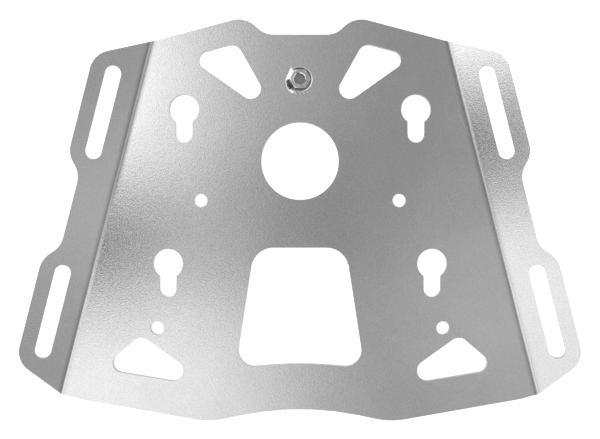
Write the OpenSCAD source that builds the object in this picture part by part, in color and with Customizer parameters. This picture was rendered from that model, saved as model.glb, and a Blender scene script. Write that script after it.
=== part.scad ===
// Top case mounting plate: one laser-cut and folded stainless sheet with a welded nut.
// The deck lies on z = 0, +Y points to the front edge and both wings rise to +Z.
// The origin is the centre of the large hole, on the deck's lower face.

/* [Sheet] */
// Sheet thickness
sheet_t = 3; // [1.5:0.5:5]
// Angle by which each wing is folded up from the deck
fold_angle = 14; // [6:1:30]
// Inside radius of the folds
fold_r = 12; // [2:0.5:16]

/* [Deck outline] */
// Distance of the straight middle front edge from the large hole's centre
front_y = 67.6; // [55:0.1:74]
// Half width of the straight middle front edge, to the foot of the front lobes
front_notch_x = 19; // [12:0.1:24]
// Position across of the front lobes' peak, before rounding
front_lobe_x = 29.2; // [26:0.1:40]
// Position forward of the front lobes' peak, before rounding
front_lobe_y = 77.2; // [74:0.1:84]
// Distance of each fold's front end from the centre line
fold_x = 79.4; // [74:0.1:90]
// Position forward of each fold's front end
fold_y = 64; // [58:0.1:68]
// Splay of each fold from the centre line
fold_splay = 14.2; // [8:0.1:18]
// Length of each fold
fold_len = 194.8; // [186:0.1:204]
// Length of the short stretch of rear edge that runs square to each fold
rear_square_len = 10; // [6:0.5:16]
// Position across of the rear lobes' lowest point, before rounding
rear_lobe_x = 48.3; // [42:0.1:60]
// Position forward of the rear lobes' lowest point
rear_lobe_y = -139.6; // [-146:0.1:-136]
// Position forward of the rear arch's peak, before rounding
rear_arch_y = -129.4; // [-132:0.1:-124]
// Rounding of the front lobes' foot
front_notch_r = 11.8; // [6:0.1:14]
// Rounding of the front lobes' peak
front_lobe_r = 13.4; // [6:0.1:15]
// Rounding of the rear lobes
rear_lobe_r = 42; // [20:1:60]
// Rounding of the rear arch
rear_arch_r = 155; // [80:1:180]

/* [Wings] */
// Width of each wing at its two bulges, from the fold
wing_w = 27.3; // [24:0.1:34]
// Width of each wing in the recess between the bulges
wing_recess_w = 19.4; // [16:0.1:23]
// Slope of the front edge, as rise over run away from the fold
wing_front_slope = 0.55; // [0.3:0.01:0.7]
// Slope of the rear edge, as rise over run away from the fold
wing_rear_slope = 0.475; // [0.3:0.01:0.7]
// Start of the recess, along the fold from its front end
recess_from = 69.2; // [60:0.1:74]
// End of the recess, along the fold from its rear end
recess_to = 68.2; // [62:0.1:74]
// Length of the slanted shoulder at each end of the recess
recess_shoulder = 8.8; // [8:0.1:12]
// Rounding of the wings' corners and shoulders
wing_r = 12.6; // [6:0.1:13]

/* [Strap slots] */
// Width of the strap slots
slot_w = 8.4; // [6:0.1:10]
// Length of the strap slots over their round ends
slot_len = 51; // [40:0.5:56]
// Distance of the slots' middle line from the fold
slot_offset = 15.2; // [10:0.1:17]
// Middle of the front slots, along the fold from its front end
slot_front_at = 43.3; // [40:0.1:46]
// Middle of the rear slots, along the fold from its rear end
slot_rear_at = 42.2; // [40:0.1:46]

/* [Deck holes] */
// Diameter of the large hole
centre_hole_d = 41.6; // [30:0.1:50]
// Diameter of the four bolt holes
bolt_hole_d = 7.2; // [5:0.1:9]
// Position across of the front bolt holes
bolt_front_x = 53.1; // [48:0.1:57]
// Position forward of the front bolt holes
bolt_front_y = -21.1; // [-30:0.1:-10]
// Position across of the rear bolt holes
bolt_rear_x = 76.5; // [70:0.1:82]
// Position forward of the rear bolt holes
bolt_rear_y = -89.4; // [-92:0.1:-82]

/* [Keyholes] */
// Diameter of the keyholes' round head
key_head_d = 16; // [13:0.1:18]
// Width of the keyholes' neck
key_neck_w = 9.1; // [6:0.1:11]
// Distance from the head's centre to the centre of the neck's round end
key_travel = 13.3; // [10:0.1:16]
// Position across of the front keyholes
key_front_x = 62.1; // [58:0.1:66]
// Position forward of the front keyholes' head
key_front_y = 27.7; // [22:0.1:32]
// Position across of the rear keyholes
key_rear_x = 70.7; // [67:0.1:76]
// Position forward of the rear keyholes' head
key_rear_y = -55; // [-58:0.1:-48]

/* [Lightening cut-outs] */
// Front edge of the window
window_front_y = -46.4; // [-54:0.1:-40]
// Half width of the window at its front edge, before rounding
window_front_x = 24.6; // [20:0.1:30]
// Half width of the window at its rear edge, before rounding
window_rear_x = 34.5; // [28:0.1:40]
// Rear edge of the window at its corners, before rounding
window_rear_y = -110.9; // [-114:0.1:-104]
// Rise of the window's rear edge towards the middle
window_arch = 3.1; // [1:0.1:6]
// Rounding of the window's front corners
window_front_r = 12.3; // [6:0.1:14]
// Rounding of the window's rear corners
window_rear_r = 8.6; // [5:0.1:12]
// Rounding of the window's arched rear edge
window_arch_r = 200; // [120:1:260]
// Rounding of the triangular cut-outs' wide corners
triangle_r = 5.6; // [3:0.1:6]
// Rounding of the triangular cut-outs' pointed outer corners
triangle_tip_r = 5; // [2:0.1:5.5]

/* [Corners of the front triangles, before rounding] */
// Front corner, across
front_tri_front_x = 33.9; // [32:0.1:36]
// Front corner, forward
front_tri_front_y = 63.3; // [60:0.1:65]
// Corner beside the nut, across
front_tri_inner_x = 9.4; // [8:0.1:14]
// Corner beside the nut, forward
front_tri_inner_y = 19.9; // [18:0.1:24]
// Outer corner, across
front_tri_outer_x = 60.8; // [56:0.1:63]
// Outer corner, forward
front_tri_outer_y = 56.2; // [52:0.1:59]

/* [Corners of the rear triangles, before rounding] */
// Front corner, across
rear_tri_front_x = 85.3; // [80:0.1:88]
// Front corner, forward
rear_tri_front_y = -93.1; // [-97:0.1:-91]
// Corner beside the window, across
rear_tri_inner_x = 45.2; // [43:0.1:50]
// Corner beside the window, forward
rear_tri_inner_y = -121.7; // [-124:0.1:-118]
// Outer corner, across
rear_tri_outer_x = 106.7; // [100:0.1:108]
// Outer corner, forward
rear_tri_outer_y = -111.4; // [-114:0.1:-108]

/* [Welded nut] */
// Thread size of the welded nut
nut_thread_d = 6; // [5:0.5:7]
// Size across the nut's flats
nut_flats = 10; // [9.5:0.5:13]
// Height of the nut, from the deck's lower face
nut_h = 5; // [4:0.1:6.5]
// Position forward of the nut
nut_y = 43.7; // [40:0.1:46]
// Gap between the nut's corners and the round hole that it stands in
nut_hole_gap = 0.5; // [0.2:0.1:1]
// Width of the weld bead, from the nut outwards over the deck
bead_w = 3.2; // [2.4:0.1:4]
// Start of the weld bead round the nut, from the +X direction
bead_from = 130; // [100:5:160]
// Sweep of the weld bead round the nut
bead_sweep = 110; // [60:5:160]

/* [Hidden] */
$fn = 96;

// Distance from the deck's and wing's meeting line to where the fold starts
fold_setback = fold_r * tan(fold_angle / 2);
// Outside radius of the folds
fold_outer_r = fold_r + sheet_t;
// Short overlap of the deck's outline and the wing's outline beside the bend
outline_lap = 0.2;
// How far inside each fold's line the wing's outline takes over from the deck's
seam = fold_setback + outline_lap;
// How far the deck's rear edge leans over the square stretch, to cross the wing's outline
rear_lean = 0.15;
// Largest turn between two points of a bend
bend_step = 2;
// How far cutting shapes run past the faces that they cut
over = 1;
// Largest turn between two points of a rounded corner
corner_step = 6;

bolt_holes = [[bolt_front_x, bolt_front_y], [bolt_rear_x, bolt_rear_y]];
keyholes = [[key_front_x, key_front_y], [key_rear_x, key_rear_y]];
nut_bore_d = 0.835 * nut_thread_d;
nut_sink_d = 1.1 * nut_thread_d;
nut_sink = (nut_sink_d - nut_bore_d) / 2;
nut_corner_d = nut_flats / cos(30);
nut_hole_d = nut_corner_d + 2 * nut_hole_gap;
nut_chamfer = 0.05 * nut_flats;
bead_ring_r = nut_hole_d / 2 + 0.1;
bead_end_extra = 0.8;

// Position, across and forward, of a point given from the fold: away from it and back along it
function off_fold(away, back) = [
    fold_x + away * cos(fold_splay) + back * sin(fold_splay),
    fold_y + away * sin(fold_splay) - back * cos(fold_splay)
];

// Right half of the deck's outline from the front edge round to the rear arch, as [x, y, rounding]
deck_half = [
    [front_notch_x, front_y, front_notch_r],
    [front_lobe_x, front_lobe_y, front_lobe_r],
    concat(off_fold(-seam, outline_lap / 2 - wing_front_slope * seam), 0),
    concat(off_fold(-seam, fold_len - rear_lean / 4), 0),
    concat(off_fold(-rear_square_len, fold_len + rear_lean), 0),
    [rear_lobe_x, rear_lobe_y, rear_lobe_r]
];

// One wing's outline in its own plane, x away from the fold and y forward along it.
// It reaches inwards over the bend. In front its slanted edge runs on over the fold to the deck's,
// and at the rear it cuts the fold's end square.
wing_corners = [
    [-2 * sheet_t, wing_front_slope * seam, 0],
    [-seam, wing_front_slope * seam, 0],
    [wing_w, -wing_front_slope * wing_w, wing_r],
    [wing_w, -recess_from, wing_r],
    [wing_recess_w, -recess_from - recess_shoulder, wing_r],
    [wing_recess_w, -fold_len + recess_to + recess_shoulder, wing_r],
    [wing_w, -fold_len + recess_to, wing_r],
    [wing_w, -fold_len + wing_rear_slope * wing_w, wing_r],
    [fold_setback / 4, -fold_len, 0],
    [-2 * sheet_t, -fold_len, 0]
];

window_half = [
    [window_front_x, window_front_y, window_front_r],
    [window_rear_x, window_rear_y, window_rear_r]
];

// Corners of the triangular cut-outs on the right, as [x, y, rounding]: front one, rear one
triangles = [
    [
        [front_tri_front_x, front_tri_front_y, triangle_r],
        [front_tri_inner_x, front_tri_inner_y, triangle_r],
        [front_tri_outer_x, front_tri_outer_y, triangle_tip_r]
    ],
    [
        [rear_tri_front_x, rear_tri_front_y, triangle_r],
        [rear_tri_inner_x, rear_tri_inner_y, triangle_r],
        [rear_tri_outer_x, rear_tri_outer_y, triangle_tip_r]
    ]
];

function xy(p) = [p[0], p[1]];
function towards(a, b) = (xy(b) - xy(a)) / norm(xy(b) - xy(a));
function mirrored(points) = [for (i = [len(points) - 1:-1:0]) [-points[i][0], points[i][1], points[i][2]]];

// Points of one corner: an arc that touches both sides, or the corner itself where it is sharp
function corner_arc(before, at, after) =
    let (a = towards(at, before), b = towards(at, after), turn = 180 - acos(a * b))
    at[2] == 0 || turn < 0.01 ? [xy(at)] :
    let (
        way = (a + b) / norm(a + b),
        middle = xy(at) + way * at[2] / cos(turn / 2),
        steps = 2 * ceil(turn / corner_step / 2) + 1,
        side = sign(a[0] * b[1] - a[1] * b[0]),
        across = [way[1], -way[0]]
    )
    [for (i = [0:steps])
        let (t = turn * (i / steps - 0.5))
        middle - at[2] * (way * cos(t) + side * across * sin(t))];

// Outline through [x, y, rounding] corners
module rounded_outline(corners) {
    n = len(corners);
    polygon([for (i = [0:n - 1])
        each corner_arc(corners[(i + n - 1) % n], corners[i], corners[(i + 1) % n])]);
}

// Slot with round ends along y, centred: length over the ends and width
module slot(len, w) {
    for (end = [-1, 1])
        translate([0, end * (len - w) / 2, -over])
            cylinder(d = w, h = sheet_t + 2 * over);
    translate([-w / 2, (w - len) / 2, -over])
        cube([w, len - w, sheet_t + 2 * over]);
}

// Keyhole: a round head with a narrower neck that runs to the rear
module keyhole() {
    translate([0, 0, -over])
        cylinder(d = key_head_d, h = sheet_t + 2 * over);
    translate([0, -key_travel, -over])
        cylinder(d = key_neck_w, h = sheet_t + 2 * over);
    translate([-key_neck_w / 2, -key_travel, -over])
        cube([key_neck_w, key_travel, sheet_t + 2 * over]);
}

// Puts its children at the right fold: x away from the deck, y forward along the fold
module at_fold() {
    translate([fold_x, fold_y, 0])
        rotate([0, 0, fold_splay])
            children();
}

// Puts its children in the wing's own plane
module in_wing_plane() {
    translate([0, 0, sheet_t])
        rotate([0, -fold_angle, 0])
            translate([0, 0, -sheet_t])
                children();
}

// Point of the bend's section, x away from the deck and y up, at a radius and a turn from its axis
function bend_point(r, turn) = [r * sin(turn) - fold_setback, fold_outer_r - r * cos(turn)];

// Section across one fold: half the deck, the bend and the wing, each reaching past its outline
module bent_section() {
    steps = ceil(fold_angle / bend_step);
    turns = [for (i = [0:steps]) fold_angle * i / steps];
    wing_way = (wing_w + over) * [cos(fold_angle), sin(fold_angle)];
    lower = [for (t = turns) bend_point(fold_outer_r, t)];
    upper = [for (i = [steps:-1:0]) bend_point(fold_r, turns[i])];
    polygon(concat(
        [[-fold_len, 0]],
        lower,
        [lower[steps] + wing_way, upper[0] + wing_way],
        upper,
        [[-fold_len, sheet_t]]
    ));
}

// Long bent sheet, from which one half of the plate is cut
module bent_sheet() {
    rotate([90, 0, 0])
        translate([0, 0, -fold_len / 2])
            linear_extrude(2 * fold_len)
                bent_section();
}

// Everything inside the deck's outline
module deck_column() {
    translate([0, 0, -over])
        linear_extrude(sheet_t + 2 * over)
            rounded_outline(concat(deck_half, [[0, rear_arch_y, rear_arch_r]], mirrored(deck_half)));
}

// Everything inside one wing's outline, square to the wing
module wing_column() {
    in_wing_plane()
        translate([0, 0, -over])
            linear_extrude(sheet_t + 2 * over)
                rounded_outline(wing_corners);
}

// Right half of the plate without its openings: the bent sheet cut along the outlines
module half_blank() {
    intersection() {
        at_fold()
            bent_sheet();
        union() {
            deck_column();
            at_fold()
                wing_column();
        }
        translate([0, -fold_len, -over])
            cube([fold_len, 2 * fold_len, fold_len]);
    }
}

module strap_slots() {
    in_wing_plane()
        for (at = [slot_front_at, fold_len - slot_rear_at])
            translate([slot_offset, -at, 0])
                slot(slot_len, slot_w);
}

module window() {
    translate([0, 0, -over])
        linear_extrude(sheet_t + 2 * over)
            rounded_outline(concat(
                window_half,
                [[0, window_rear_y + window_arch, window_arch_r]],
                mirrored(window_half)
            ));
}

module triangle(corners) {
    translate([0, 0, -over])
        linear_extrude(sheet_t + 2 * over)
            rounded_outline(corners);
}

module deck_holes() {
    translate([0, 0, -over])
        cylinder(d = centre_hole_d, h = sheet_t + 2 * over);
    translate([0, nut_y, -over])
        cylinder(d = nut_hole_d, h = sheet_t + 2 * over);
    window();
    for (side = [0, 1])
        mirror([side, 0, 0]) {
            for (p = bolt_holes)
                translate([p[0], p[1], -over])
                    cylinder(d = bolt_hole_d, h = sheet_t + 2 * over);
            for (p = keyholes)
                translate([p[0], p[1], 0])
                    keyhole();
            for (t = triangles)
                triangle(t);
        }
}

module plate() {
    color("lightsteelblue")
        difference() {
            for (side = [0, 1])
                mirror([side, 0, 0])
                    half_blank();
            deck_holes();
            for (side = [0, 1])
                mirror([side, 0, 0])
                    at_fold()
                        strap_slots();
        }
}

// The nut's hexagonal body before it is chamfered and bored, with flats to front and rear
module nut_hexagon() {
    cylinder(d = nut_corner_d, h = nut_h, $fn = 6);
}

// Hexagonal nut that stands in the deck's round hole, flush with the lower face and proud of the upper
module weld_nut() {
    color("gainsboro")
        translate([0, nut_y, 0])
            difference() {
                intersection() {
                    nut_hexagon();
                    rotate_extrude()
                        polygon([
                            [0, 0],
                            [nut_flats / 2, 0],
                            [nut_corner_d / 2, nut_chamfer],
                            [nut_corner_d / 2, nut_h - nut_chamfer],
                            [nut_flats / 2, nut_h],
                            [0, nut_h]
                        ]);
                }
                rotate_extrude()
                    polygon([
                        [0, -over],
                        [nut_sink_d / 2 + over, -over],
                        [nut_bore_d / 2, nut_sink],
                        [nut_bore_d / 2, nut_h - nut_sink],
                        [nut_sink_d / 2 + over, nut_h + over],
                        [0, nut_h + over]
                    ]);
            }
}

// Bead along the nut's left side, over the gap and the hole's edge, thicker where the weld stopped
module weld_bead() {
    color("silver")
        translate([0, nut_y, 0])
            difference() {
                union() {
                    translate([0, 0, sheet_t])
                        rotate([0, 0, bead_from])
                            rotate_extrude(angle = bead_sweep)
                                translate([bead_ring_r, 0])
                                    circle(d = bead_w);
                    for (end = [0, 1])
                        rotate([0, 0, bead_from + end * bead_sweep])
                            translate([bead_ring_r, 0, sheet_t])
                                sphere(d = bead_w + end * bead_end_extra);
                }
                rotate_extrude()
                    translate([nut_hole_d / 2, -over])
                        square([nut_hole_d, sheet_t + over]);
                nut_hexagon();
            }
}

plate();
weld_nut();
weld_bead();
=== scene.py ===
import math

import bmesh
import bpy
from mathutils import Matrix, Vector, noise


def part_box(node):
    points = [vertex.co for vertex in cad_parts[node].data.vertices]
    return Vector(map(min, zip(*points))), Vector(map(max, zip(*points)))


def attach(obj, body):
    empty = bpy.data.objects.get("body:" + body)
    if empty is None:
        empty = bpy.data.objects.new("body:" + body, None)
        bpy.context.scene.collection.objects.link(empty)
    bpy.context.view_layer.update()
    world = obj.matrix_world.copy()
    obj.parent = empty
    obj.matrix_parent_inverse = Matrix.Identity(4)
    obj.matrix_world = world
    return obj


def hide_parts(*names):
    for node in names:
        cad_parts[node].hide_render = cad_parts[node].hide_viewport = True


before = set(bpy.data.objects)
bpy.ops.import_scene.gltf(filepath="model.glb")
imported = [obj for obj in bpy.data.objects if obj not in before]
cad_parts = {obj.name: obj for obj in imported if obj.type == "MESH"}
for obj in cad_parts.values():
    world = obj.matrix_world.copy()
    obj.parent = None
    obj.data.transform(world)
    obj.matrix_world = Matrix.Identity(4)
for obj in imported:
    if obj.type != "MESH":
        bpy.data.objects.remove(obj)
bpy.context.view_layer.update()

# Sizes and places on the plate are in millimetres, and MM turns them into metres.
# The origin is the centre of the large hole, on the deck's lower face, and +Y is the front.
MM = 0.001
SHEET_T = 3.0

# The fold line on the right: its front end, and its splay from the centre line. The left one
# mirrors it.
FOLD_X = 79.4
FOLD_Y = 64.0
FOLD_SPLAY = math.radians(14.2)

nut_low, nut_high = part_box("weld_nut")
NUT_X = (nut_low[0] + nut_high[0]) / 2 / MM
NUT_Y = (nut_low[1] + nut_high[1]) / 2 / MM
NUT_H = nut_high[2] / MM
NUT_FLATS = 9.8

# Camera
# It looks straight down. At this height a pixel covers 0.535 mm of the deck's upper face.
CAMERA_Y = -31.3
CAMERA_H = 431.0
LENS = 48.0
SENSOR = 36.0
NEAREST_SEEN = 10.0

camera_data = bpy.data.cameras.new("camera")
camera_data.sensor_width = SENSOR
camera_data.lens = LENS
camera_data.clip_start = NEAREST_SEEN * MM
camera = bpy.data.objects.new("camera", camera_data)
camera.location = (0.0, CAMERA_Y * MM, CAMERA_H * MM)
bpy.context.scene.collection.objects.link(camera)
bpy.context.scene.camera = camera
bpy.context.scene.view_settings.view_transform = "Standard"


# Node helpers
class Number:
    """A number that a node tree works out. Arithmetic on it adds Math nodes to that tree."""

    def __init__(self, socket):
        self.socket = socket
        self.tree = socket.id_data

    def apply(self, operation, *others):
        inputs = dict(enumerate((self, *others)))
        return Number(add_node(self.tree, "ShaderNodeMath", inputs, operation=operation).outputs[0])

    def __add__(self, other):
        return self.apply("ADD", other)

    def __sub__(self, other):
        return self.apply("SUBTRACT", other)

    def __mul__(self, other):
        return self.apply("MULTIPLY", other)

    def __truediv__(self, other):
        return self.apply("DIVIDE", other)

    def __rsub__(self, other):
        return self.apply("MULTIPLY_ADD", -1.0, other)

    def __abs__(self):
        return self.apply("ABSOLUTE")

    __radd__ = __add__
    __rmul__ = __mul__


def feed(socket, value):
    """Link a number or another node's output to a socket, or set the socket's own value."""
    if isinstance(value, Number):
        value = value.socket
    if isinstance(value, bpy.types.NodeSocket):
        socket.id_data.links.new(value, socket)
    else:
        socket.default_value = value


def add_node(tree, kind, inputs=None, **settings):
    """A new node, with its own settings, and its inputs by name or by place."""
    made = tree.nodes.new(kind)
    for name, value in settings.items():
        setattr(made, name, value)
    for key, value in (inputs or {}).items():
        feed(made.inputs[key], value)
    return made


def ramp(value, low, high, to_low=0.0, to_high=1.0):
    """Smooth step: to_low where value is low, to_high where it is high."""
    inputs = dict(enumerate((value, low, high, to_low, to_high)))
    settings = {"interpolation_type": "SMOOTHSTEP", "clamp": True}
    return Number(add_node(value.tree, "ShaderNodeMapRange", inputs, **settings).outputs[0])


def between(a, b, share):
    """a where share is 0, b where it is 1."""
    return share * (b - a) + a


def swing(pattern, size):
    """A noise pattern, centred on nought and times a size."""
    return (pattern - 0.5) * size


def object_coords(tree):
    return add_node(tree, "ShaderNodeTexCoord").outputs["Object"]


def parts(vector):
    """The x, y and z of a vector."""
    made = add_node(vector.id_data, "ShaderNodeSeparateXYZ", {0: vector})
    return [Number(socket) for socket in made.outputs]


def distance(coords, point):
    made = add_node(coords.id_data, "ShaderNodeVectorMath", {0: coords, 1: point}, operation="DISTANCE")
    return Number(made.outputs["Value"])


def from_axis(coords, x, y):
    """Distance from the upright axis through x, y, which are in millimetres."""
    inputs = {0: coords, 1: (1.0, 1.0, 0.0)}
    flat = add_node(coords.id_data, "ShaderNodeVectorMath", inputs, operation="MULTIPLY")
    return distance(flat.outputs[0], (x * MM, y * MM, 0.0))


def noise_at(coords, scale, detail, roughness=0.5):
    inputs = {"Vector": coords, "Scale": scale, "Detail": detail, "Roughness": roughness}
    return Number(add_node(coords.id_data, "ShaderNodeTexNoise", inputs).outputs["Fac"])


def turned(coords, turn, scale=(1.0, 1.0, 1.0)):
    """Coordinates turned about the upright axis, then scaled along each axis."""
    rotated = add_node(coords.id_data, "ShaderNodeMapping", {"Vector": coords, "Rotation": (0.0, 0.0, turn)})
    inputs = {"Vector": rotated.outputs[0], "Scale": scale}
    return add_node(coords.id_data, "ShaderNodeMapping", inputs).outputs[0]


def grey(value):
    inputs = {"Red": value, "Green": value, "Blue": value}
    return add_node(value.tree, "ShaderNodeCombineColor", inputs).outputs[0]


def new_material(name):
    material = bpy.data.materials.new(name)
    material.use_nodes = True
    tree = material.node_tree
    tree.nodes.clear()
    shader = add_node(tree, "ShaderNodeBsdfPrincipled")
    add_node(tree, "ShaderNodeOutputMaterial", {"Surface": shader.outputs[0]})
    return material, tree, shader


def make_metal(shader, tone, roughness, height, depth):
    """Bare metal of a grey tone, with bump from a height that is depth metres at 1."""
    relief = add_node(tone.tree, "ShaderNodeBump", {"Strength": 1.0, "Distance": depth, "Height": height})
    feed(shader.inputs["Base Color"], grey(tone))
    feed(shader.inputs["Metallic"], 1.0)
    feed(shader.inputs["Roughness"], roughness)
    feed(shader.inputs["Normal"], relief.outputs[0])


# Studio light
# A far, soft surrounding. A direction in it is given by two slopes, measured from straight up:
# across is negative to the left, forward is negative to the rear. Each step below says at which
# slope it starts and ends, then, unless it goes from 0 to 1, its values there.
LEAST_UP = 0.05

# a dark stripe straight above, which gets lighter to the front, the rear and the right
STRIPE_FRONT = (0.03, 0.13, 0.30, 0.55)
STRIPE_REAR = (-0.01, -0.22, 0.30, 0.71)
RIGHT_SHARE = (0.02, 0.09)
RIGHT_LEVEL = (0.08, 0.30, 0.355, 0.47)

# a lighter field at the rear right, which fades further to the rear
FIELD_ACROSS = (0.04, 0.20)
FIELD_REAR = (0.08, -0.09)
FIELD_FADE = (-0.26, -0.17, 0.3, 1.0)
FIELD_LEVEL = 0.62

# a bright left side, whose edge leans to the right at the rear
LEFT_EDGE = (-0.06, -0.18)
EDGE_LEAN = (-0.06, -0.16, 0.0, 0.07)
BRIGHT_ACROSS = (-0.16, -0.27)
BRIGHT_EDGE_LEVEL = 1.30
BRIGHT_LEVEL = (-0.02, -0.14, 1.75, 1.42)
BRIGHT_REAR_FADE = (-0.15, -0.30, 1.0, 0.88)

# a band that crosses the bright side and turns dark further out
BAND_REAR = (-0.135, -0.060)
BAND_FRONT = (0.070, 0.022)
BAND_EDGE = (-0.02, -0.10)
BAND_LEVEL = (-0.15, -0.26, 0.70, 0.06)

# Far from straight up the studio is evenly light, and low down it darkens again, on the left lower
# than on the right. These steps go by the whole slope from straight up, whatever its direction.
FAR = (0.42, 0.9)
LOW_RIGHT = (1.6, 2.6)
LOW_LEFT = (2.8, 4.4)
LOW_LEVEL = 0.58

# how the far light and its lower limit change from left to right
FAR_LEVEL = (-0.40, -0.05, 1.22, 0.95)
LOW_SIDE = (-0.3, -0.8)


def near_level(across, forward):
    """Light from the directions that the deck and the wings reflect in the photograph."""
    level = ramp(forward, *STRIPE_FRONT).apply("MAXIMUM", ramp(forward, *STRIPE_REAR))
    level = between(level, ramp(across, *RIGHT_LEVEL), ramp(across, *RIGHT_SHARE))
    field = ramp(across, *FIELD_ACROSS) * ramp(forward, *FIELD_REAR) * ramp(forward, *FIELD_FADE)
    level = between(level, FIELD_LEVEL, field)

    band = ramp(forward, *BAND_REAR) * ramp(forward, *BAND_FRONT)
    bright_side = ramp(across - ramp(forward, *EDGE_LEAN), *LEFT_EDGE)
    left = between(bright_side, ramp(across, *BAND_EDGE), band)
    bright = ramp(across, *BRIGHT_ACROSS, BRIGHT_EDGE_LEVEL, ramp(forward, *BRIGHT_LEVEL))
    bright = bright * ramp(forward, *BRIGHT_REAR_FADE)
    left_level = between(bright, ramp(across, *BAND_LEVEL), band)
    return between(level, left_level, left)


def studio_level(across, forward):
    reach = (across * across + forward * forward).apply("SQRT")
    low = between(ramp(reach, *LOW_RIGHT), ramp(reach, *LOW_LEFT), ramp(across, *LOW_SIDE))
    far_level = between(ramp(across, *FAR_LEVEL), LOW_LEVEL, low)
    return between(near_level(across, forward), far_level, ramp(reach, *FAR))


def make_studio():
    world = bpy.data.worlds.new("studio")
    bpy.context.scene.world = world
    world.use_nodes = True
    sky = world.node_tree
    sky.nodes.clear()
    x, y, z = parts(add_node(sky, "ShaderNodeTexCoord").outputs["Generated"])
    up = z.apply("MAXIMUM", LEAST_UP)
    light = add_node(sky, "ShaderNodeBackground", {"Color": grey(studio_level(x / up, y / up))})
    add_node(sky, "ShaderNodeOutputWorld", {"Surface": light.outputs[0]})


make_studio()

# Floor
# Pale paper, just below the plate. Under the nut it has a grey, dimmer patch of painted shade,
# which shows grey through the bore.
FLOOR_HALF = 8000.0
FLOOR_CORNERS = (
    (-FLOOR_HALF, -FLOOR_HALF),
    (FLOOR_HALF, -FLOOR_HALF),
    (FLOOR_HALF, FLOOR_HALF),
    (-FLOOR_HALF, FLOOR_HALF),
)
FLOOR_Z = -0.1
FLOOR_TONE = 0.92
FLOOR_GLOW = 0.55
FLOOR_ROUGHNESS = 0.9
BORE_SHADE_TONE = 0.20
BORE_SHADE_GLOW = 0.11
BORE_SHADE_EDGE = (9.0 * MM, 7.0 * MM)
WHITE = (1.0, 1.0, 1.0, 1.0)


def floor_material():
    material, tree, shader = new_material("floor_paper")
    # painted shade: the patch under the nut is grey and glows less, so the bore shows grey
    patch = ramp(distance(object_coords(tree), (NUT_X * MM, NUT_Y * MM, FLOOR_Z * MM)), *BORE_SHADE_EDGE)
    feed(shader.inputs["Base Color"], grey(between(FLOOR_TONE, BORE_SHADE_TONE, patch)))
    feed(shader.inputs["Roughness"], FLOOR_ROUGHNESS)
    feed(shader.inputs["Emission Color"], WHITE)
    feed(shader.inputs["Emission Strength"], between(FLOOR_GLOW, BORE_SHADE_GLOW, patch))
    return material


def make_floor():
    mesh = bpy.data.meshes.new("floor")
    corners = [(x * MM, y * MM, FLOOR_Z * MM) for x, y in FLOOR_CORNERS]
    mesh.from_pydata(corners, [], [(0, 1, 2, 3)])
    mesh.materials.append(floor_material())
    made = bpy.data.objects.new("floor", mesh)
    bpy.context.scene.collection.objects.link(made)
    return made


floor = make_floor()

# Steel of the sheet
SHEET_TONE = 0.66
SHEET_ROUGHNESS = 0.09
SHEET_RELIEF = 0.034 * MM

# Noise patterns, here and below, are given as scale, detail and, unless it is 0.5, roughness.
# Grain and fine are turned, and their scales fit neither the sheet's thickness nor a pixel,
# because a noise that lines up with these goes flat.
CLOUD = (38.0, 3.0, 0.55)
GRAIN = (1130.0, 3.0, 0.6)
GRAIN_TURN = -0.35
FINE = (1480.0, 3.0, 0.7)
FINE_TURN = 0.6
CUT = (2600.0, 2.0, 0.6)

# how much each pattern changes the tone
FINE_SWING = 0.30
GRAIN_SWING = 0.05
CLOUD_SWING = 0.10

# how much they add to the roughness and to the relief, where the fine pattern counts 1
GRAIN_ROUGHENS = 0.06
GRAIN_RELIEF = 0.45
BURR_RELIEF = 1.4
SPATTER_RELIEF = 0.65
CUT_RELIEF = 2.0

# cut edges are those that stand upright; they are darker, duller and finely striated
UPRIGHT = (0.75, 0.45)
CUT_TONE = 0.30
CUT_SWING = 0.25
CUT_ROUGHNESS = 0.42
CUT_STRETCH = (1.0, 1.0, 0.05)

# Marks of the bending tool, with painted shade and highlight of the bend: where each starts, peaks
# and ends, in millimetres from the fold line, negative on the deck. A burnished line, painted lighter
# as a highlight, lies between two dull ones, which carry painted shade.
DECK_MARK = (-3.9, -0.8, 0.0)
LINE_MARK = (-0.6, 0.15, 0.9)
WING_MARK = (3.9, 0.95, 0.1)
BURNISHED_HIGHLIGHT = 0.34
DECK_SHADE = 0.30
DECK_SHADE_LEFT = (-25.0 * MM, 0.0, 0.06, DECK_SHADE)
WING_SHADE_LEFT = 0.36
WING_SHADE_RIGHT = 0.12
LEFT_TO_RIGHT = (-20.0 * MM, 20.0 * MM)
MARK_WOBBLE = 0.5

# the burr round the nut's hole, with a painted highlight that is plainest on the right, and broken by the
# grain
BURR_R = 6.65
BURR_WIDTH = 0.42
BURR_HIGHLIGHT = 0.34
BURR_HIGHLIGHT_SIDE = ((NUT_X - 2.0) * MM, (NUT_X + 4.0) * MM, 0.35, 1.0)
BURR_BREAKS = (0.30, 0.55, 0.4, 1.0)

# ripples of weld spatter behind the nut, with their run in radians for each metre
RIPPLES_INNER = (6.6 * MM, 7.2 * MM)
RIPPLES_OUTER = (8.9 * MM, 7.9 * MM)
RIPPLES_BEHIND = ((NUT_Y - 4.2) * MM, (NUT_Y - 6.2) * MM)
RIPPLES_ACROSS = 2600.0
RIPPLES_FORWARD = 2300.0
RIPPLES_BEND = 9.0

# hairline scratches and a few bright specks
HAIR = (1.0, 1.0)
HAIR_STRETCH = (26.0, 1500.0, 1.0)
HAIR_TURN = 1.1
HAIR_SHARE = (0.70, 0.78)
HAIR_LIGHTENS = 0.10
SPECK_SCALE = 95.0
SPECK_SIZE = (0.035, 0.015)
SPECK_PLACES = (0.50, 0.56)
SPECK_LIGHTENS = 0.30


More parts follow.
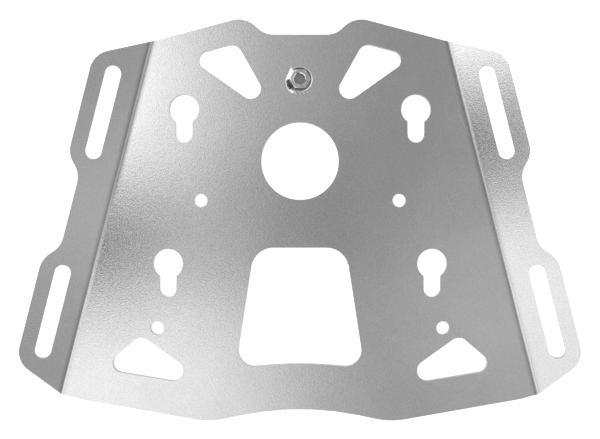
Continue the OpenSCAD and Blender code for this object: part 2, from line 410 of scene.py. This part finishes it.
def fold_marks_and_shade(tone, x, y, cloud):
    """The tone with the tool marks, painted bend shade and a painted highlight. On the left they fade to the
    rear, and the right wing's is faint.
    """
    off = (abs(x) - FOLD_X * MM) * math.cos(FOLD_SPLAY) + (y - FOLD_Y * MM) * math.sin(FOLD_SPLAY)
    off = off + swing(cloud, MARK_WOBBLE * MM)

    def mark(start, peak, end):
        rise = ramp(off, start * MM, peak * MM)
        return rise * rise * ramp(off, end * MM, peak * MM)

    right = ramp(x, *LEFT_TO_RIGHT)
    deck_shade = between(ramp(y, *DECK_SHADE_LEFT), DECK_SHADE, right)
    wing_shade = between(WING_SHADE_LEFT, WING_SHADE_RIGHT, right)
    # painted shade in the dull lines, whose strength changes from left to right, and to the rear on the left
    # deck, with how the bend catches the light
    dull_and_shade = (mark(*DECK_MARK) * deck_shade).apply("MAXIMUM", mark(*WING_MARK) * wing_shade)
    # the burnished line is painted lighter, a painted highlight
    return tone * (1.0 - dull_and_shade) + mark(*LINE_MARK) * BURNISHED_HIGHLIGHT


def nut_hole_marks(coords, x, y, grain, cloud):
    """Share of the burr with its painted highlight, and height of the spatter."""
    reach = from_axis(coords, NUT_X, NUT_Y)
    burr_and_highlight = ramp(abs(reach - BURR_R * MM), BURR_WIDTH * MM, 0.0)
    # painted highlight: the burr's lightening is plainest on the right, where it catches the light
    burr_and_highlight = burr_and_highlight * ramp(x, *BURR_HIGHLIGHT_SIDE) * ramp(grain, *BURR_BREAKS)
    behind = ramp(reach, *RIPPLES_INNER) * ramp(reach, *RIPPLES_OUTER) * ramp(y, *RIPPLES_BEHIND)
    wave = (cloud * RIPPLES_BEND + (y * RIPPLES_FORWARD + x * RIPPLES_ACROSS)).apply("SINE")
    return burr_and_highlight, behind * wave


def scratches_and_specks(coords, cloud):
    """What they add to the tone."""
    hair = noise_at(turned(coords, HAIR_TURN, HAIR_STRETCH), *HAIR)
    cells = add_node(coords.id_data, "ShaderNodeTexVoronoi", {"Vector": coords, "Scale": SPECK_SCALE})
    speck = ramp(Number(cells.outputs["Distance"]), *SPECK_SIZE) * ramp(cloud, *SPECK_PLACES)
    return ramp(hair, *HAIR_SHARE) * HAIR_LIGHTENS + speck * SPECK_LIGHTENS


def sheet_material():
    material, tree, shader = new_material("sheet_steel")
    coords = object_coords(tree)
    x, y = parts(coords)[:2]
    normal_z = parts(add_node(tree, "ShaderNodeNewGeometry").outputs["True Normal"])[2]
    upright = ramp(abs(normal_z), *UPRIGHT)
    grain = noise_at(turned(coords, GRAIN_TURN), *GRAIN)
    fine = noise_at(turned(coords, FINE_TURN), *FINE)
    cloud = noise_at(coords, *CLOUD)
    cut = noise_at(turned(coords, 0.0, CUT_STRETCH), *CUT)
    burr_and_highlight, spatter = nut_hole_marks(coords, x, y, grain, cloud)

    tone = swing(fine, FINE_SWING) + swing(grain, GRAIN_SWING) + swing(cloud, CLOUD_SWING) + SHEET_TONE
    # the fold marks bring painted shade and highlight, the burr a painted highlight, then scratches and
    # specks
    tone = fold_marks_and_shade(tone, x, y, cloud) + burr_and_highlight * BURR_HIGHLIGHT + scratches_and_specks(coords, cloud)
    tone = between(tone, cut * CUT_SWING + CUT_TONE, upright)
    roughness = between(grain * GRAIN_ROUGHENS + SHEET_ROUGHNESS, CUT_ROUGHNESS, upright)
    height = fine + grain * GRAIN_RELIEF + burr_and_highlight * BURR_RELIEF + spatter * SPATTER_RELIEF
    height = between(height, cut * CUT_RELIEF, upright)
    make_metal(shader, tone, roughness, height, SHEET_RELIEF)
    return material


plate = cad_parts["plate"]
plate.data.materials.clear()
plate.data.materials.append(sheet_material())

# Steel of the nut
NUT_TONE = 0.52
NUT_SWING = 0.26
NUT_ROUGHNESS = 0.16
NUT_ROUGHENS = 0.18
NUT_FINE = (2500.0, 3.0, 0.6)
NUT_PATCHES = (420.0, 3.0, 0.6)
NUT_FINE_RELIEF = 0.4
NUT_RELIEF = 0.040 * MM

# the bore is painted bright, a painted highlight for the glints of its thread, with darker random patches in
# its thread
BORE_X = NUT_X - 0.3
BORE_EDGE = (3.45 * MM, 3.30 * MM)
BORE_HIGHLIGHT_TONE = 0.96
BORE_DARK_TONE = 0.10
BORE_DARK_PATTERN = (520.0, 1.0)
BORE_DARK_PLACES = (0.50, 0.56)


def nut_material():
    material, tree, shader = new_material("nut_steel")
    coords = object_coords(tree)
    fine = noise_at(coords, *NUT_FINE)
    patch = noise_at(coords, *NUT_PATCHES)
    in_bore = ramp(from_axis(coords, BORE_X, NUT_Y), *BORE_EDGE)
    bore_dark = in_bore * ramp(noise_at(coords, *BORE_DARK_PATTERN), *BORE_DARK_PLACES)
    # painted highlight: the bore is far lighter than the rest of the nut
    tone = between(swing(patch, NUT_SWING) + NUT_TONE, BORE_HIGHLIGHT_TONE, in_bore)
    # darker random patches in the bore's thread
    tone = between(tone, BORE_DARK_TONE, bore_dark)
    make_metal(shader, tone, patch * NUT_ROUGHENS + NUT_ROUGHNESS, patch + fine * NUT_FINE_RELIEF, NUT_RELIEF)
    return material


# Steel of the weld
WELD_TONE = 0.93
WELD_SWING = 0.06
WELD_ROUGHNESS = 0.16
WELD_RELIEF = 0.12 * MM
WELD_RELIEF_SHARE = 0.25
WELD_PITS = (1500.0, 4.0, 0.65)
WELD_FINE = (900.0, 2.0)

# the burnt crater, left and behind the nut, with a ragged edge inside a ragged rim
CRATER_AT = ((NUT_X - 5.5) * MM, (NUT_Y - 3.2) * MM, SHEET_T * MM)
CRATER_EDGE = (3.2 * MM, 2.6 * MM)
CRATER_RAGGED = 2.6
RIM_EDGE = (7.7 * MM, 7.3 * MM)
RIM_RAGGED = 2.0
BURNT_TONE = (0.42, 0.62, 0.02, 0.45)
BURNT_ROUGHNESS = 0.5
BURNT_RELIEF_SHARE = 1.6


def weld_material():
    material, tree, shader = new_material("weld_steel")
    coords = object_coords(tree)
    pits = noise_at(coords, *WELD_PITS)
    fine = noise_at(coords, *WELD_FINE)
    from_crater = distance(coords, CRATER_AT) + swing(pits, CRATER_RAGGED * MM)
    from_nut = distance(coords, (NUT_X * MM, NUT_Y * MM, SHEET_T * MM)) + swing(fine, RIM_RAGGED * MM)
    burnt = ramp(from_crater, *CRATER_EDGE) * ramp(from_nut, *RIM_EDGE)
    tone = between(fine * WELD_SWING + WELD_TONE, ramp(pits, *BURNT_TONE), burnt)
    height = pits * between(WELD_RELIEF_SHARE, BURNT_RELIEF_SHARE, burnt)
    make_metal(shader, tone, between(WELD_ROUGHNESS, BURNT_ROUGHNESS, burnt), height, WELD_RELIEF)
    return material


# Mesh helpers
def tube_mesh(name, rows, closed_along=False):
    """Mesh over closed rows of points; closed_along joins the last row to the first."""
    count = len(rows[0])
    faces = []
    for i in range(len(rows) if closed_along else len(rows) - 1):
        j = (i + 1) % len(rows)
        for k in range(count):
            m = (k + 1) % count
            faces.append((i * count + k, i * count + m, j * count + m, j * count + k))
    mesh = bpy.data.meshes.new(name)
    mesh.from_pydata([point for row in rows for point in row], [], faces)
    mesh.update()
    return mesh


def add_caps(mesh, count, rows):
    """Close both ends of a tube of rows and point every face outwards."""
    work = bmesh.new()
    work.from_mesh(mesh)
    work.verts.ensure_lookup_table()
    for start in (0, (rows - 1) * count):
        work.faces.new([work.verts[start + k] for k in range(count)])
    bmesh.ops.triangulate(work, faces=[face for face in work.faces if len(face.verts) > 4])
    bmesh.ops.recalc_face_normals(work, faces=work.faces)
    work.to_mesh(mesh)
    work.free()


def add_piece(name, mesh, material, stands_for):
    piece = bpy.data.objects.new(name, mesh)
    bpy.context.scene.collection.objects.link(piece)
    mesh.materials.append(material)
    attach(piece, "root")
    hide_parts(stands_for)


def near_nut(radius, angle, z, shift=0.0):
    """Point in metres, from a radius and an angle about the nut's axis and a height in millimetres."""
    x = NUT_X + shift + radius * math.cos(angle)
    y = NUT_Y + radius * math.sin(angle)
    return (x * MM, y * MM, z * MM)


def share_of(value, low, high):
    """How far value has come from low to high, held between 0 and 1."""
    return min(1.0, max(0.0, (value - low) / (high - low)))


def smooth_share(value, low, high):
    share = share_of(value, low, high)
    return share * share * (3 - 2 * share)


# Nut with its thread
# The middle of each end face is a flat disc, FACE_SHARE of the width across flats; outside it the
# face slopes down to the bevel.
NUT_AROUND = 120
NUT_LEVELS = 100
NUT_BEVEL = 0.20
BEVEL_DROP = 0.55 * NUT_BEVEL
FACE_SHARE = 0.95
FACE_R = FACE_SHARE * NUT_FLATS / 2
FACE_SLOPE = math.tan(math.radians(14))

THREAD_PITCH = 1.0
CREST_R = 2.98
ROOT_R = 3.30
FLANK = (0.12, 0.88)

# the thread starts in a countersink at both ends
SINK_R = 3.48
SINK_SLOPE = 1.7

# the bore leans: it lies left of the nut's axis, and more so at its lower end
BORE_SHIFT_TOP = -0.20
BORE_SHIFT_LOW = -0.50


def hex_radius(angle):
    """Radius of the nut's hexagon, whose corners point along x and whose flats face front and rear."""
    sector = (angle + math.pi / 6) % (math.pi / 3) - math.pi / 6
    return NUT_FLATS / 2 / math.cos(math.pi / 6 - abs(sector))


def face_drop(angle):
    """How far the sloping rim of an end face has dropped at the bevel."""
    return max(0.0, hex_radius(angle) - NUT_BEVEL - FACE_R) * FACE_SLOPE


def bore_radius(angle, z):
    phase = (z / THREAD_PITCH - angle / (2 * math.pi)) % 1.0
    thread = CREST_R + (ROOT_R - CREST_R) * share_of(abs(phase - 0.5) * 2, *FLANK)
    return max(thread, SINK_R - SINK_SLOPE * min(z, NUT_H - z))


def make_nut():
    """The upper face, the bevel, the flats and the lower face, then the bore from below."""
    angles = [2 * math.pi * k / NUT_AROUND for k in range(NUT_AROUND)]
    rows = [
        [near_nut(FACE_R, a, NUT_H) for a in angles],
        [near_nut(max(FACE_R, hex_radius(a) - NUT_BEVEL), a, NUT_H - face_drop(a)) for a in angles],
        [near_nut(hex_radius(a), a, NUT_H - face_drop(a) - BEVEL_DROP) for a in angles],
        [near_nut(hex_radius(a), a, face_drop(a) + BEVEL_DROP) for a in angles],
        [near_nut(FACE_R, a, 0.0) for a in angles],
    ]
    for i in range(NUT_LEVELS + 1):
        z = NUT_H * i / NUT_LEVELS
        shift = BORE_SHIFT_LOW + (BORE_SHIFT_TOP - BORE_SHIFT_LOW) * z / NUT_H
        rows.append([near_nut(bore_radius(a, z), a, z, shift) for a in angles])
    mesh = tube_mesh("welded_nut", rows, closed_along=True)
    mesh.flip_normals()
    add_piece("welded_nut", mesh, nut_material(), "weld_nut")


make_nut()

# Weld metal
# Its places along the nut are in degrees, anticlockwise from the right as seen from above.
WELD_ALONG = 150
WELD_OVER = 44
WELD_FROM = 126.0
WELD_TO = 250.0
WELD_END_FRONT = 1.5
WELD_END_REAR = 5.0

# (degrees, radius of the outer edge) and (degrees, what is added to the hexagon for the inner edge)
WELD_OUTER = (
    (126, 8.3),
    (140, 7.5),
    (154, 7.2),
    (168, 7.4),
    (180, 7.9),
    (200, 8.2),
    (220, 8.6),
    (240, 8.7),
    (250, 8.1),
)
WELD_INNER = ((126, -0.1), (222, -0.1), (230, 0.9), (238, 1.2), (250, 1.0))

# where the crater starts and ends, and where the tail starts
BURNT_START = (180, 185)
BURNT_END = (233, 226)
TAIL_START = (222, 230)

# heights above the sheet: a fillet that rises towards the nut, then a pit with a ridge along its
# outer side, then a round tail
FILLET_RISE = 1.10
FILLET_FOOT = 0.12
RIDGE_H = 0.95
RIDGE_AT = 0.86
RIDGE_WIDTH = 0.10
RIDGE_EVEN = 0.75
RIDGE_UNEVEN = 0.9
PIT_Z = -0.45
PIT_ROUGH = 0.55
TAIL_H = 0.95
TAIL_ROUGH = 0.10

# scales of the lumps, and the share of the finer ones
LUMP_SCALE = 2.1
FINE_LUMP_SCALE = 4.7
FINE_LUMP_SHARE = 0.5
RIDGE_LUMP_SCALE = 1.4

# the outer edge rounds off into the sheet, and the underside lies inside the sheet and the hole
EDGE_SHARE = 0.12
EDGE_SINK = 0.12
UNDERSIDE_SINK = 0.9


def along_lines(value, points):
    """Straight lines through (place, value) points."""
    for (x0, y0), (x1, y1) in zip(points, points[1:]):
        if value <= x1:
            return y0 + (y1 - y0) * max(0.0, (value - x0) / (x1 - x0))
    return points[-1][1]


def bell(value, middle, width):
    return math.exp(-(((value - middle) / width) ** 2))


def weld_lift(degrees, s, spot):
    """Height above the sheet, where s runs from the nut (0) to the outer edge (1)."""
    rough = noise.noise(spot * LUMP_SCALE) + FINE_LUMP_SHARE * noise.noise(spot * FINE_LUMP_SCALE)
    fillet = FILLET_RISE * (1 - s) + FILLET_FOOT
    ridge = RIDGE_EVEN + RIDGE_UNEVEN * noise.noise(spot * RIDGE_LUMP_SCALE)
    ridge = ridge * RIDGE_H * bell(s, RIDGE_AT, RIDGE_WIDTH)
    pit = PIT_Z + PIT_ROUGH * rough
    tail = TAIL_H * math.sqrt(max(0.0, 1 - (2 * s - 1) ** 2)) + TAIL_ROUGH * rough
    burnt_share = smooth_share(degrees, *BURNT_START) * smooth_share(degrees, *BURNT_END)
    lift = fillet + (max(ridge, pit) - fillet) * burnt_share
    return lift + (tail - lift) * smooth_share(degrees, *TAIL_START)


def weld_row(degrees):
    """One closed section of the weld, from the nut over the top to the outer edge and back below."""
    angle = math.radians(degrees)
    inner = hex_radius(angle) + along_lines(degrees, WELD_INNER)
    outer = along_lines(degrees, WELD_OUTER)
    ends = min(1.0, (degrees - WELD_FROM) / WELD_END_FRONT, (WELD_TO - degrees) / WELD_END_REAR)
    ends = math.sqrt(max(0.0, ends))
    row = []
    for k in range(WELD_OVER + 1):
        s = k / WELD_OVER
        radius = inner + (outer - inner) * s
        spot = Vector((radius * math.cos(angle), radius * math.sin(angle), 0.0))
        rounded = math.sqrt(min(1.0, (1 - s) / EDGE_SHARE))
        lift = (weld_lift(degrees, s, spot) + EDGE_SINK) * ends * rounded
        row.append(near_nut(radius, angle, SHEET_T - EDGE_SINK + lift))
    for radius in (outer, inner):
        row.append(near_nut(radius, angle, SHEET_T - UNDERSIDE_SINK))
    return row


def make_weld():
    """A smooth fillet on the left, a burnt crater behind it, and a bright tail."""
    rows = [weld_row(WELD_FROM + (WELD_TO - WELD_FROM) * i / WELD_ALONG) for i in range(WELD_ALONG + 1)]
    mesh = tube_mesh("weld_metal", rows)
    add_caps(mesh, len(rows[0]), len(rows))
    for polygon in mesh.polygons:
        polygon.use_smooth = True
    add_piece("weld_metal", mesh, weld_material(), "weld_bead")


make_weld()

# Bring the scene up to date, then the end
bpy.context.view_layer.update()
